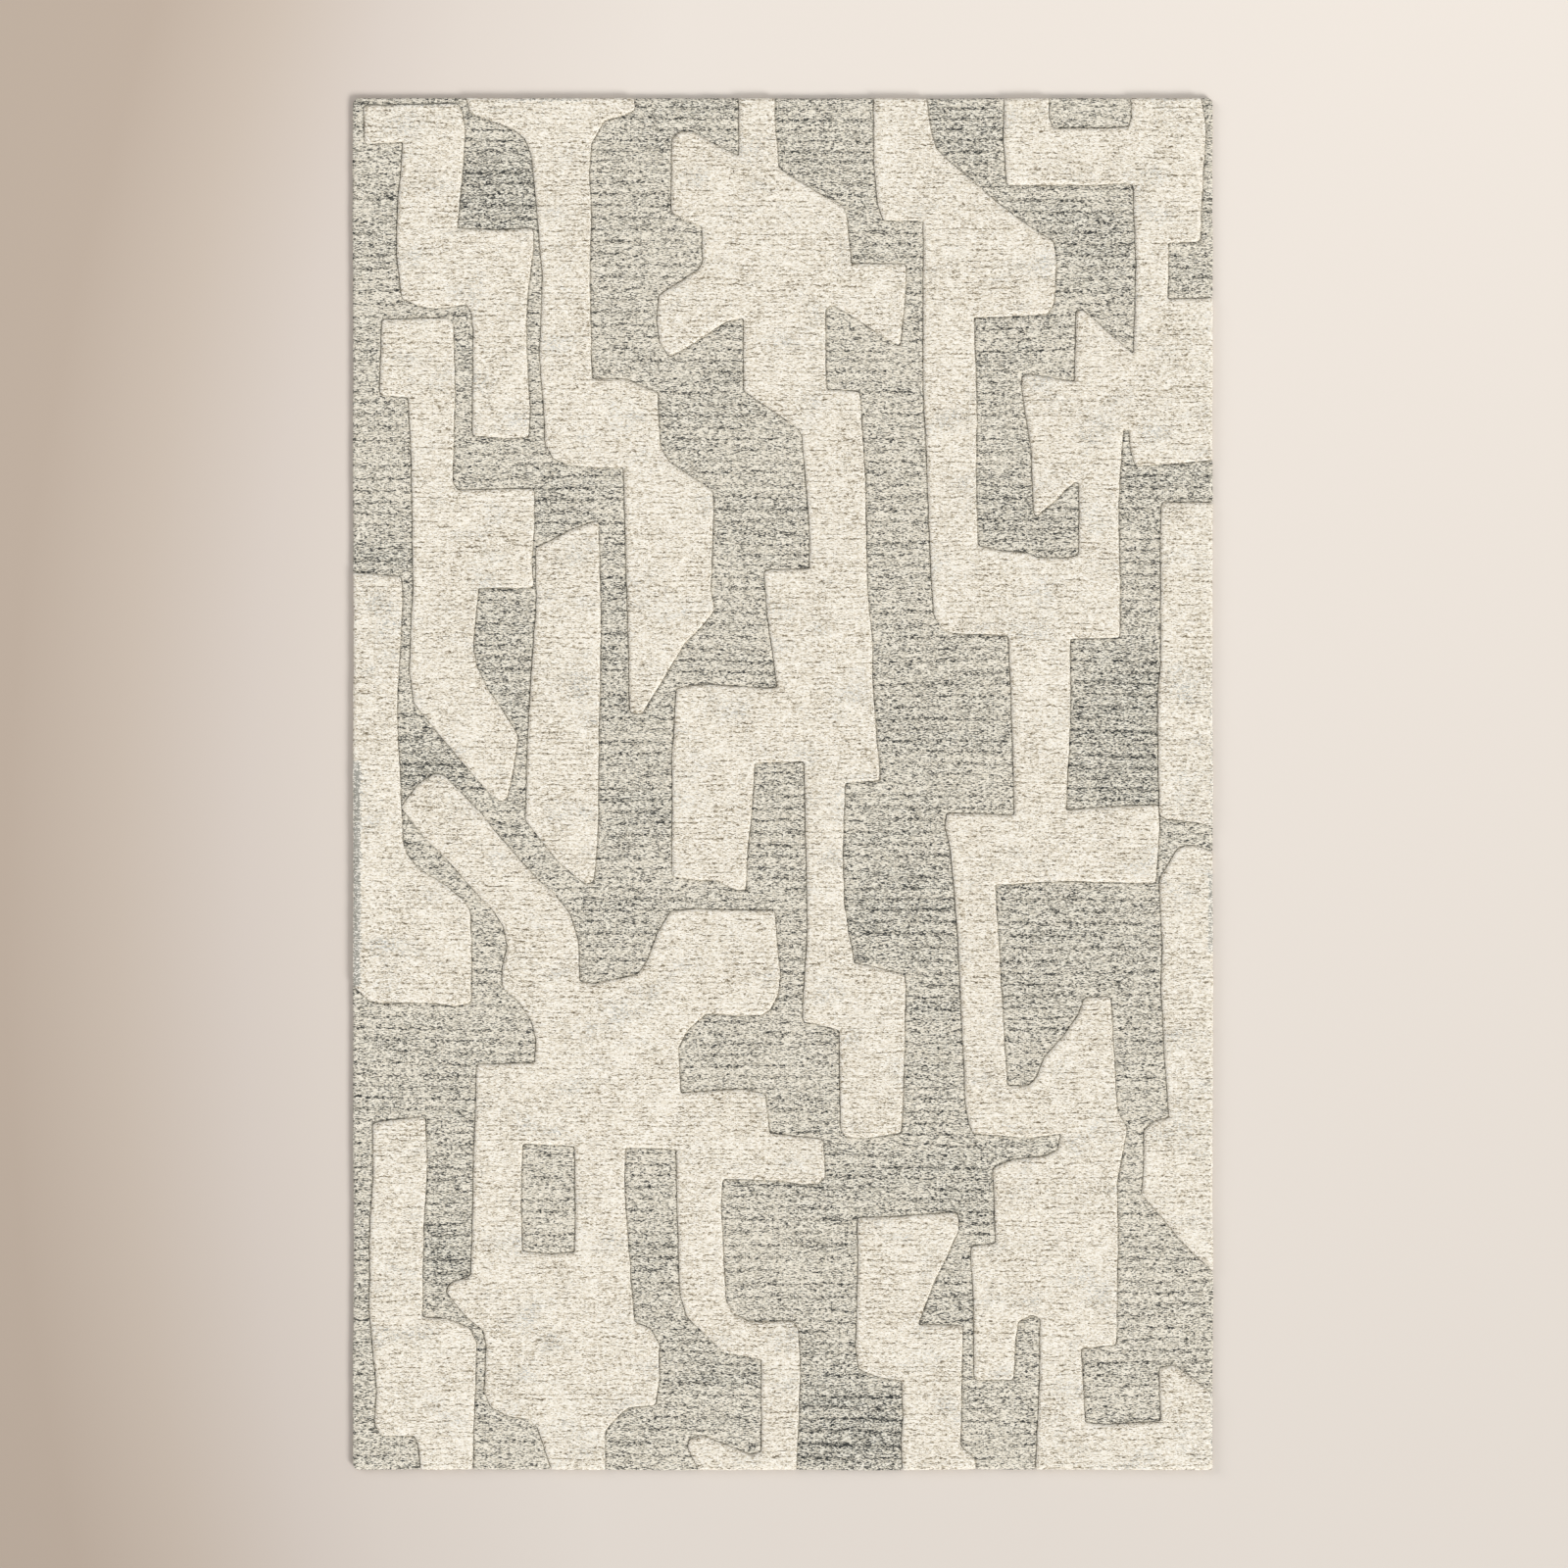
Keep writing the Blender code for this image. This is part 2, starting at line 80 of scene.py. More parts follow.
handWander = {
    "long": (1.5 * mm, 4.5),   # how far the whole rug strays from square, and waves in a metre
    "short": (0.9 * mm, 28),   # the unsteady hand that carved the pattern
    "tiny": (0.45 * mm, 110),
}
wideTrim = 4 * mm   # the left edge was trimmed this much outside its line
trimReach = 40 * mm   # how far in from the left edge that pulls the pile


def strayed(places, scales=("long", "short", "tiny")):
    # every layer goes through this, so that neighbours stay beside each other
    moved = places.copy()
    moved[:, 0] -= wideTrim * easeIn(-places[:, 0], rugWidth / 2 - trimReach, rugWidth / 2)
    for layer, scale in enumerate(scales):
        reach, waves = handWander[scale]
        moved[:, 0] += reach * ripple(places, waves, waves, 3.1 + layer)
        moved[:, 1] += reach * ripple(places, waves, waves, 13.7 + layer)
    return moved


def addNode(tree, kind, inputs, **settings):
    node = tree.nodes.new(kind)
    for name, value in settings.items():
        setattr(node, name, value)
    for name, value in inputs.items():
        if isinstance(value, bpy.types.NodeSocket):
            tree.links.new(value, node.inputs[name])
        else:
            node.inputs[name].default_value = value
    return node


def sums(tree, operation, *values, clamp=False):
    node = tree.nodes.new("ShaderNodeMath")
    node.operation = operation
    node.use_clamp = clamp
    for place, value in enumerate(values):
        if isinstance(value, bpy.types.NodeSocket):
            tree.links.new(value, node.inputs[place])
        else:
            node.inputs[place].default_value = value
    return node.outputs[0]


def rampOf(tree, value, stops):
    node = tree.nodes.new("ShaderNodeValToRGB")
    tree.links.new(value, node.inputs[0])
    marks = node.color_ramp.elements
    while len(marks) < len(stops):
        marks.new(0.5)
    for mark, (place, colour) in zip(marks, stops):
        mark.position = place
        mark.color = (*colour, 1)
    return node.outputs[0]


def mixColours(tree, share, first, second, blend="MIX"):
    node = tree.nodes.new("ShaderNodeMix")
    node.data_type = "RGBA"
    node.blend_type = blend
    for place, value in ((0, share), (6, first), (7, second)):
        if isinstance(value, bpy.types.NodeSocket):
            tree.links.new(value, node.inputs[place])
        elif place:
            node.inputs[place].default_value = (*value, 1)
        else:
            node.inputs[place].default_value = value
    return node.outputs[2]


def startFabric(name, roughness, sheen):
    made = bpy.data.materials.new(name)
    made.use_nodes = True
    tree = made.node_tree
    shader = tree.nodes["Principled BSDF"]
    shader.inputs["Roughness"].default_value = roughness
    shader.inputs["Sheen Weight"].default_value = sheen
    shader.inputs["Sheen Roughness"].default_value = 0.6
    shader.inputs["Specular IOR Level"].default_value = 0.15
    spot = addNode(tree, "ShaderNodeTexCoord", {}).outputs["Object"]
    return made, tree, shader, spot


def finishFabric(tree, shader, colour, height, depth, strength=1.0):
    tree.links.new(colour, shader.inputs["Base Color"])
    bump = addNode(
        tree, "ShaderNodeBump", {"Height": height, "Distance": depth, "Strength": strength}
    )
    tree.links.new(bump.outputs[0], shader.inputs["Normal"])


def stretched(tree, spot, scale):
    return addNode(tree, "ShaderNodeMapping", {"Vector": spot, "Scale": scale}).outputs[0]


def noiseOf(tree, spot, scale, detail=2.0, roughness=0.5):
    return addNode(
        tree,
        "ShaderNodeTexNoise",
        {"Vector": spot, "Scale": scale, "Detail": detail, "Roughness": roughness},
    ).outputs[0]


def tuftsOf(tree, spot, scale):
    # one cell for each yarn: two random numbers of its own, and a dome from its middle
    cells = addNode(tree, "ShaderNodeTexVoronoi", {"Vector": spot, "Scale": scale})
    parts = addNode(tree, "ShaderNodeSeparateColor", {"Color": cells.outputs["Color"]})
    dome = sums(tree, "SUBTRACT", 1.0, cells.outputs["Distance"])
    return parts.outputs[0], parts.outputs[1], dome


def attributeOf(tree, name):
    return addNode(tree, "ShaderNodeAttribute", {}, attribute_name=name).outputs["Fac"]


def unevenness(tree, spot, grain):
    # noise about zero, drawn out across the rug
    run = stretched(tree, spot, (grain["run"], 1.0, 1.0))
    value = noiseOf(tree, run, grain["perMetre"], grain["detail"], grain["roughness"])
    return sums(tree, "SUBTRACT", value, 0.5)


def shadeFrom(tree, yarn, amounts, layers):
    # the yarn's own shade, and then so much of each layer
    shade = sums(tree, "MULTIPLY_ADD", yarn, amounts["yarn"], amounts["base"])
    for name, layer in layers.items():
        isLast = name == list(layers)[-1]
        shade = sums(tree, "MULTIPLY_ADD", layer, amounts[name], shade, clamp=isLast)
    return shade


def tinted(tree, colour, share, tint):
    return mixColours(tree, share, colour, tint, "MULTIPLY")


rowWander = {"run": 0.6, "perMetre": 90, "detail": 3.0, "roughness": 0.65}
rowBreaks = {"run": 0.34, "perMetre": 62, "detail": 2.0, "roughness": 0.65, "sharpness": 6.0}


def rowLines(tree, spot, line):
    # thin wandering lines, one each time the row attribute passes a whole number
    wander = noiseOf(
        tree,
        stretched(tree, spot, (rowWander["run"], 1.0, 1.0)),
        rowWander["perMetre"],
        rowWander["detail"],
        rowWander["roughness"],
    )
    turn = sums(tree, "MULTIPLY_ADD", wander, line["wobble"], attributeOf(tree, "row"))
    wave = sums(tree, "COSINE", sums(tree, "MULTIPLY", turn, 2 * math.pi))
    thin = sums(tree, "POWER", sums(tree, "MAXIMUM", wave, 0.0), line["thinness"])
    broken = noiseOf(
        tree,
        stretched(tree, spot, (rowBreaks["run"], 1.0, 1.0)),
        rowBreaks["perMetre"],
        rowBreaks["detail"],
        rowBreaks["roughness"],
    )
    broken = sums(
        tree, "MULTIPLY_ADD", broken, rowBreaks["sharpness"], line["unbroken"], clamp=True
    )
    return sums(tree, "MULTIPLY", thin, broken)


heatherWool = {
    "roughness": 0.95,
    "sheen": 0.12,
    "yarnsPerMetre": 840,
    "yarnRun": 0.34,   # a yarn shows about three times as wide as it is long
    # thin dark threads that run a few centimetres across the rug, and clumps of tufts
    "threads": {"run": 0.2, "perMetre": 330, "detail": 2.0, "roughness": 0.65},
    "clumps": {"run": 0.55, "perMetre": 190, "detail": 2.0, "roughness": 0.6},
    "rowLine": {"wobble": 0.5, "thinness": 2.5, "unbroken": -2.0},
    "rowsInDye": (0.2, 0.6),   # rows show more where the dye is strong: slope and start
    "shade": {
        "yarn": 1.6,
        "base": -0.07,
        "threads": 0.8,
        "clumps": 0.2,
        "dye": -0.26,
        "rows": -0.68,
        # painted shade in crinkles and among lower tufts
        "sunkenShade": -0.12,
    },
    "colours": [
        (0.00, (0.040, 0.042, 0.040)),
        (0.15, (0.160, 0.158, 0.142)),
        (0.33, (0.410, 0.390, 0.330)),
        (0.55, (0.620, 0.578, 0.485)),
        (0.78, (0.785, 0.735, 0.625)),
        (1.00, (0.930, 0.890, 0.790)),
    ],
    "warmPerMetre": 60,
    "warmShare": 0.14,
    "warmTint": (0.72, 0.62, 0.47),
    "dyeShare": (0.6, 0.1),
    "dyeTint": (0.94, 0.972, 1.0),
    # painted shade: the heather is darkened beside its carved grooves, towards the colour below
    "grooveShadePerMetre": 75,
    "grooveShadeStrength": (5.0, -2.35),   # painted groove shade: dark in some places and nearly gone in others
    "grooveShadeShare": 0.6,
    "grooveShade": (0.15, 0.15, 0.13),
    "unevenYarn": 0.5,
    "bumpHeight": 1 * mm,
    "bumpStrength": 0.7,
}


def makeHeather(look):
    made, tree, shader, spot = startFabric("heatherWool", look["roughness"], look["sheen"])
    run = stretched(tree, spot, (look["yarnRun"], 1.0, 1.0))
    yarn, other, dome = tuftsOf(tree, run, look["yarnsPerMetre"])
    dye = attributeOf(tree, "dye")
    rows = rowLines(tree, spot, look["rowLine"])
    rows = sums(tree, "MULTIPLY", rows, sums(tree, "MULTIPLY_ADD", dye, *look["rowsInDye"]))
    layers = {
        "threads": unevenness(tree, spot, look["threads"]),
        "clumps": unevenness(tree, spot, look["clumps"]),
        "dye": dye,
        "rows": rows,
        # painted shade in crinkles and among lower tufts
        "sunkenShade": attributeOf(tree, "sunkenShade"),
    }
    colour = rampOf(tree, shadeFrom(tree, yarn, look["shade"], layers), look["colours"])
    warm = sums(tree, "MULTIPLY", noiseOf(tree, spot, look["warmPerMetre"]), look["warmShare"])
    colour = tinted(tree, colour, warm, look["warmTint"])
    blue = sums(tree, "MULTIPLY_ADD", dye, *look["dyeShare"], clamp=True)
    colour = tinted(tree, colour, blue, look["dyeTint"])
    # painted groove shade: the groove colour is mixed in where the rim attribute is high, more in
    # some places than others
    depth = noiseOf(tree, spot, look["grooveShadePerMetre"], 3.0, 0.7)
    depth = sums(tree, "MULTIPLY_ADD", depth, *look["grooveShadeStrength"], clamp=True)
    depth = sums(tree, "MULTIPLY", depth, attributeOf(tree, "rim"))
    depth = sums(tree, "MULTIPLY", depth, look["grooveShadeShare"])
    colour = mixColours(tree, depth, colour, look["grooveShade"])
    height = sums(tree, "MULTIPLY_ADD", other, look["unevenYarn"], dome)
    finishFabric(tree, shader, colour, height, look["bumpHeight"], look["bumpStrength"])
    return made


creamWool = {
    "roughness": 0.95,
    "sheen": 0.15,
    "yarnsPerMetre": 880,
    "yarnRun": 0.34,
    "threads": {"run": 0.3, "perMetre": 340, "detail": 2.0, "roughness": 0.65},
    "clouds": {"run": 1.0, "perMetre": 13, "detail": 3.0, "roughness": 0.6},
    # crinkles: thin broken lines that run mostly across the rug, sunk in the bump and darkened with
    # painted crevice shade
    "rowLine": {"wobble": 1.1, "thinness": 2.5, "unbroken": -2.5},
    "shade": {
        "yarn": 1.15,
        "base": 0.095,
        "threads": 0.65,
        "clouds": 0.42,
        # painted crevice shade along the crinkles
        "rows": -0.44,
        # painted shade in crinkles and among lower tufts
        "sunkenShade": -0.22,
    },
    "colours": [
        (0.00, (0.17, 0.138, 0.092)),
        (0.16, (0.46, 0.400, 0.300)),
        (0.38, (0.75, 0.690, 0.580)),
        (0.68, (0.90, 0.845, 0.735)),
        (1.00, (0.99, 0.965, 0.900)),
    ],
    # flecks of blue-grey yarn, a few tufts in each patch
    "patchRun": 0.6,
    "patchesPerMetre": 20,
    "patchEdge": (5.0, -2.7),
    "plainYarns": 0.72,
    "blueShare": 0.6,
    "blueFleck": (0.42, 0.46, 0.48),
    "strayShare": 0.8,
    "strayFleck": (0.27, 0.275, 0.255),
    "warmPerMetre": 9,
    "warmShare": 0.10,
    "warmTint": (1.0, 0.90, 0.74),
    "rowHeight": -0.8,
    "bumpHeight": 1 * mm,
    "bumpStrength": 0.7,
}


def makeCream(look):
    made, tree, shader, spot = startFabric("creamWool", look["roughness"], look["sheen"])
    run = stretched(tree, spot, (look["yarnRun"], 1.0, 1.0))
    yarn, other, dome = tuftsOf(tree, run, look["yarnsPerMetre"])
    rows = rowLines(tree, spot, look["rowLine"])
    layers = {
        "threads": unevenness(tree, spot, look["threads"]),
        "clouds": unevenness(tree, spot, look["clouds"]),
        # painted crevice shade along the crinkles, which the bump also sinks
        "rows": rows,
        # painted shade in crinkles and among lower tufts
        "sunkenShade": attributeOf(tree, "sunkenShade"),
    }
    colour = rampOf(tree, shadeFrom(tree, yarn, look["shade"], layers), look["colours"])
    patches = noiseOf(
        tree, stretched(tree, spot, (look["patchRun"], 1.0, 1.0)), look["patchesPerMetre"]
    )
    patches = sums(tree, "MULTIPLY_ADD", patches, *look["patchEdge"], clamp=True)
    few = sums(tree, "GREATER_THAN", other, look["plainYarns"])
    blue = sums(tree, "MULTIPLY", sums(tree, "MULTIPLY", patches, few), look["blueShare"])
    colour = mixColours(tree, blue, colour, look["blueFleck"])
    # a few heather yarns were tufted along the rug's edge
    stray = sums(tree, "LESS_THAN", yarn, attributeOf(tree, "stray"))
    stray = sums(tree, "MULTIPLY", stray, look["strayShare"])
    colour = mixColours(tree, stray, colour, look["strayFleck"])
    warm = sums(tree, "MULTIPLY", noiseOf(tree, spot, look["warmPerMetre"]), look["warmShare"])
    colour = tinted(tree, colour, warm, look["warmTint"])
    height = sums(tree, "MULTIPLY_ADD", rows, look["rowHeight"], dome)
    finishFabric(tree, shader, colour, height, look["bumpHeight"], look["bumpStrength"])
    return made


wools = {"heather": makeHeather(heatherWool), "cream": makeCream(creamWool)}
print("wool materials made")


piles = {
    "cream": {
        "rowSpacing": 9 * mm,
        "tuftAcross": 3.3 * mm,
        "tuftAlong": 2.7 * mm,
        "shoulderDrop": 2.3 * mm,
        "shoulderWidth": 5 * mm,
        # how far in from an outline the painted groove shade mask reaches
        "grooveShadeWidth": 2.2 * mm,
        "tuftRelief": 0.40 * mm,
        "crinkleDepth": 0.9 * mm,
        "swell": 0.45 * mm,
    },
    "heather": {
        "rowSpacing": 20.5 * mm,
        "tuftAcross": 4.2 * mm,
        "tuftAlong": 3.3 * mm,
        "shoulderDrop": 1.2 * mm,
        "shoulderWidth": 4 * mm,
        # how far in from an outline the painted groove shade mask reaches
        "grooveShadeWidth": 1.9 * mm,
        "tuftRelief": 0.45 * mm,
        "crinkleDepth": 0.6 * mm,
        "swell": 0.35 * mm,
    },
}
outlineStep = 2.9 * mm
firstRowGap = 2.3 * mm   # from an outline to the first tufts inside it
grooveSpread = (0.55 * mm, 1.0 * mm)   # how far the yarn leans out into the groove
grooveWaves = (34, 34, 5.5)   # in a metre, between a closed groove and an open one
grooveTurn = (-0.3, 0.3)
strayTuft = 0.3 * mm
edgeSlack = 0.4 * mm   # what lies this near the rug's edge is at it
scatter = (0.5, 0.3)   # of a step across: how far a tuft strays across and along

# heights over the pile: lines and swells have waves in a metre across and along, and a noise layer
shoulderCurve = 1.6
shoulderTufts = 0.35   # share of a tuft's unevenness that is left on the shoulder
crinkleLines = (38, 105, 3.3)
crinkleWidth = 0.16
crinklePlaces = (26, 30, 9.1)
crinkleShare = (-0.1, 0.35)
swellWaves = (24, 32, 21.7)
crinkleShade = 0.8   # painted shade: how dark a crinkle and a sunken tuft are painted, up to a tuft that stands proud
lowTuftShade = 0.35
proudTuft = 0.2
wallMiddle = 0.55   # how far up the wall its leaning tufts are
wallLean = 0.2 * mm
wallUneven = 0.35 * mm

# stretches of heather whose yarn took more dye, or less: middle, half width and half length in
# centimetres, and strength
dyedPatches = [
    (-51, 103, 9, 4.5, 1.0), (-51, 110, 9, 3, 0.7), (-72, 97, 6, 7, 0.35), (-72, 41, 7, 3, 0.6),
    (-64, 3, 7, 6, 0.8), (-62, -84, 6, 4, 0.75), (-62, -74, 6, 4, 0.25), (-24, -5, 7, 4, 0.5),
    (-30, 24, 4, 12, 0.4), (-40, 50, 7, 5, 0.3), (-52, 24, 6, 11, 0.25), (-13, 118, 9, 5, 0.45),
    (-10, 70, 5, 4, 0.35), (32, 117, 7, 6, 0.45), (53, 99, 10, 7, 0.5), (44, 46, 11, 7, 0.35),
    (59, 10, 9, 17, 0.65), (68, 54, 9, 5, 0.45), (25, 11, 13, 4, 0.35), (20, -15, 10, 10, 0.3),
    (20, -25, 10, 5, 0.5), (27, -39, 5, 3, 0.4), (52, -28, 15, 10, 0.25), (18, -71, 18, 6, 0.4),
    (11, -115, 11, 9, 0.95), (-10, -105, 7, 3, 0.5), (-24, -85, 5, 5, 0.3), (-74, -90, 3, 14, 0.3),
    (-24, 95, 10, 20, -0.15), (16, 76, 9, 12, -0.2), (57, 79, 10, 7, -0.15), (20, 50, 7, 14, -0.12),
    (-42, -73, 6, 9, -0.3), (-10, -48, 12, 7, -0.2), (62, -68, 4, 14, -0.3),
    (-53, -28, 5, 12, -0.15), (-72, 60, 6, 14, -0.15), (-4, -86, 9, 8, -0.15),
    (36, -2, 8, 4, -0.15),
]


def outlinesOf(node):
    # the closed loops round the node's flat base, solid on the left, in metres
    shape = bmesh.new()
    shape.from_mesh(node.data)
    bmesh.ops.remove_doubles(shape, verts=shape.verts, dist=1e-6)
    base = min(vert.co.z for vert in shape.verts)
    flat = [face for face in shape.faces if max(vert.co.z for vert in face.verts) < base + 1e-5]
    known = set(flat)
    following = {}
    for face in flat:
        for corner in face.loops:
            if sum(other in known for other in corner.edge.link_faces) == 1:
                following[corner.link_loop_next.vert] = corner.vert
    found = []
    while following:
        first, now = following.popitem()
        loop = [first]
        while now != first:
            loop.append(now)
            now = following.pop(now)
        found.append(np.array([vert.co.xy for vert in loop]))
    shape.free()
    return found


def evenlySpaced(loop, step):
    ends = np.vstack([loop, loop[:1]])
    run = np.concatenate([[0], np.cumsum(np.linalg.norm(np.diff(ends, axis=0), axis=1))])
    count = max(8, round(run[-1] / step))
    at = np.arange(count) * run[-1] / count
    return np.column_stack([np.interp(at, run, ends[:, 0]), np.interp(at, run, ends[:, 1])])


def atRugEdge(places):
    return (np.abs(places[:, 0]) > rugWidth / 2 - edgeSlack) | (
        np.abs(places[:, 1]) > rugLength / 2 - edgeSlack
    )


def outwardFrom(loop):
    along = np.roll(loop, -1, axis=0) - np.roll(loop, 1, axis=0)
    outward = np.column_stack([along[:, 1], -along[:, 0]])
    return outward / np.maximum(np.linalg.norm(outward, axis=1, keepdims=True), 1e-9)


def softened(loop, nudge):
    # takes the corners off the drawn line, and lets the yarn spread into the carved groove;
    # where the pile reaches the rug's edge it stays square
    held = atRugEdge(loop)
    smooth = (np.roll(loop, 1, axis=0) + 2 * loop + np.roll(loop, -1, axis=0)) / 4
    share = easeIn(ripple(smooth, *grooveWaves), *grooveTurn)[:, None]
    spread = grooveSpread[0] + (grooveSpread[1] - grooveSpread[0]) * share
    spread = spread + strayTuft * (2 * nudge.random((len(loop), 1)) - 1)
    smooth = smooth + outwardFrom(smooth) * spread
    return np.where(held[:, None], loop, smooth)


def crossingsAt(loops, y):
    # where the outlines cross a line straight across the rug, from left to right
    starts = np.vstack(loops)
    ends = np.vstack([np.roll(loop, -1, axis=0) for loop in loops])
    crossing = (starts[:, 1] > y) != (ends[:, 1] > y)
    a, b = starts[crossing], ends[crossing]
    return np.sort(a[:, 0] + (b[:, 0] - a[:, 0]) * (y - a[:, 1]) / (b[:, 1] - a[:, 1]))


def insideOf(loops, rows, step, nudge):
    # tufts in rows across the rug, wherever a row is inside the outlines
    found = []
    for y in rows:
        cuts = crossingsAt(loops, y)
        offset = nudge.random() * step
        for left, right in zip(cuts[::2], cuts[1::2]):
            xs = np.arange(math.ceil((left - offset) / step) * step + offset, right, step)
            if len(xs):
                xs = xs + (nudge.random(len(xs)) - 0.5) * step * scatter[0]
                found.append(np.column_stack([xs, np.full(len(xs), y)]))
    places = np.vstack(found)
    places[:, 1] += (nudge.random(len(places)) - 0.5) * step * scatter[1]
    return places


def skinOver(places, loops):
    # triangles over the outlines, which come first in places, and whatever tufts come after
    rings = []
    count = 0
    for loop in loops:
        rings.append(np.arange(count, count + len(loop)))
        count += len(loop)
    edges = [(int(a), int(b)) for ring in rings for a, b in zip(ring, np.roll(ring, -1))]
    found = delaunay_2d_cdt([Vector(place) for place in places], edges, [], 1, 1e-7)
    comesFrom = np.array([old[0] for old in found[3]])
    faces = comesFrom[np.array(found[2])]
    if len(loops) > 1:   # drop what lies across a hole
        doubtful = np.flatnonzero((faces < count).all(axis=1))
        middles = places[faces[doubtful]].mean(axis=1)
        across = [(crossingsAt(loops, y) > x).sum() % 2 == 0 for x, y in middles]
        faces = np.delete(faces, doubtful[across], axis=0)
    return faces, rings


# strength or reach, waves in a metre across and along, and its own layer of noise
dyeRows = [(0.5, 6, 50, 31.5), (0.45, 15, 98, 37.2)]
dyeClouds = [(0.1, 5, 7, 41.0)]
rowDrift = [(14 * mm, 1.6, 6, 47.7), (3 * mm, 13, 24, 49.1)]
patchFade = 0.7
rowsInPatch = (0.8, 0.55)
rowsAnywhere = 0.7


def dyeAt(places):
    amount = np.zeros(len(places))
    for x, y, halfWidth, halfLength, strength in dyedPatches:
        across = (places[:, 0] / cm - x) / halfWidth
        along = (places[:, 1] / cm - y) / halfLength
        amount += strength * np.exp(-(across**4 + along**4) * patchFade)
    rows = ripples(places, dyeRows)
    amount *= rowsInPatch[0] + rowsInPatch[1] * rows
    return amount + rowsAnywhere * rows + ripples(places, dyeClouds)


def rowAt(places, spacing):
    # which row of tufts each place is in, and how far along to the next one
    return (places[:, 1] + ripples(places, rowDrift)) / spacing


# where a row of heather yarn runs along the edge of the cream: left, right, near and far in
# centimetres, and how thickly
edgeFlecks = [
    (-76.6, -75.3, -36, 4, 0.8), (-72, -57, 120.7, 122, 0.8), (-50, -36, 121.3, 122, 0.4),
    (75.0, 76.3, 97, 122, 0.8), (75.4, 76.3, -30, -16, 0.6), (75.8, 76.3, -120, -107, 0.6),
    (75.8, 76.3, -12, 24, 0.45),
]
fleckFade = 0.2


def within(values, low, high):
    # 1 between low and high, and 0 beyond them
    rise = easeIn(values, low - fleckFade, low + fleckFade)
    return rise * easeIn(-values, -high - fleckFade, -high + fleckFade)


def strayAt(places):
    amount = np.zeros(len(places))
    for left, right, near, far, strength in edgeFlecks:
        across = within(places[:, 0] / cm, left, right)
        amount += strength * across * within(places[:, 1] / cm, near, far)
    return amount


def tuftedInside(loops, low, high, size, nudge):
    # the rim's points and then the tufts, and how far each is from the rim
    rim = np.vstack(loops)
    rows = np.arange(low.y + size["tuftAlong"] / 2, high.y, size["tuftAlong"])
    tufts = insideOf(loops, rows, size["tuftAcross"], nudge)
    nearest = kdtree.KDTree(len(rim))
    for place, (x, y) in enumerate(rim):
        nearest.insert((x, y, 0), place)
    nearest.balance()
    gap = np.array([nearest.find((x, y, 0))[2] for x, y in tufts])
    clear = gap > firstRowGap
    return np.vstack([rim, tufts[clear]]), np.concatenate([np.zeros(len(rim)), gap[clear]])


def heightsOver(places, gap, tuft, top, size):
    # a rounded shoulder, tufts standing a little unevenly, crinkles between the rows
    inner = easeIn(gap, 0, size["shoulderWidth"])
    crinkle = np.clip(1 - np.abs(ripple(places, *crinkleLines)) / crinkleWidth, 0, 1)
    crinkle *= easeIn(ripple(places, *crinklePlaces), *crinkleShare) * inner
    z = top - size["shoulderDrop"] * (1 - inner) ** shoulderCurve
    z += size["tuftRelief"] * 2 * tuft * (shoulderTufts + (1 - shoulderTufts) * inner)
    z -= size["crinkleDepth"] * crinkle
    z += size["swell"] * ripple(places, *swellWaves) * inner
    return z, crinkle


def wallsUnder(places, z, rings, base, nudge):
    # down to the base from each outline, the tufts leaning out a little
    points, skins, foot = [], [], []
    count = len(places)
    for ring in rings:
        lean = wallLean + wallUneven * (nudge.random(len(ring)) - 0.5)
        middle = places[ring] + outwardFrom(places[ring]) * lean[:, None]
        half = base * (1 - wallMiddle) + z[ring] * wallMiddle
        points.append(np.column_stack([strayed(middle), half]))
        points.append(np.column_stack([strayed(places[ring]), np.full(len(ring), base)]))
        leaning = np.arange(len(ring)) + count
        standing = leaning + len(ring)
        count += 2 * len(ring)
        foot.append(standing)
        for upper, lower in ((ring, leaning), (leaning, standing)):
            nextUpper, nextLower = np.roll(upper, -1), np.roll(lower, -1)
            skins.append(np.column_stack([upper, lower, nextLower]))
            skins.append(np.column_stack([upper, nextLower, nextUpper]))
    return points, skins, np.concatenate(foot)


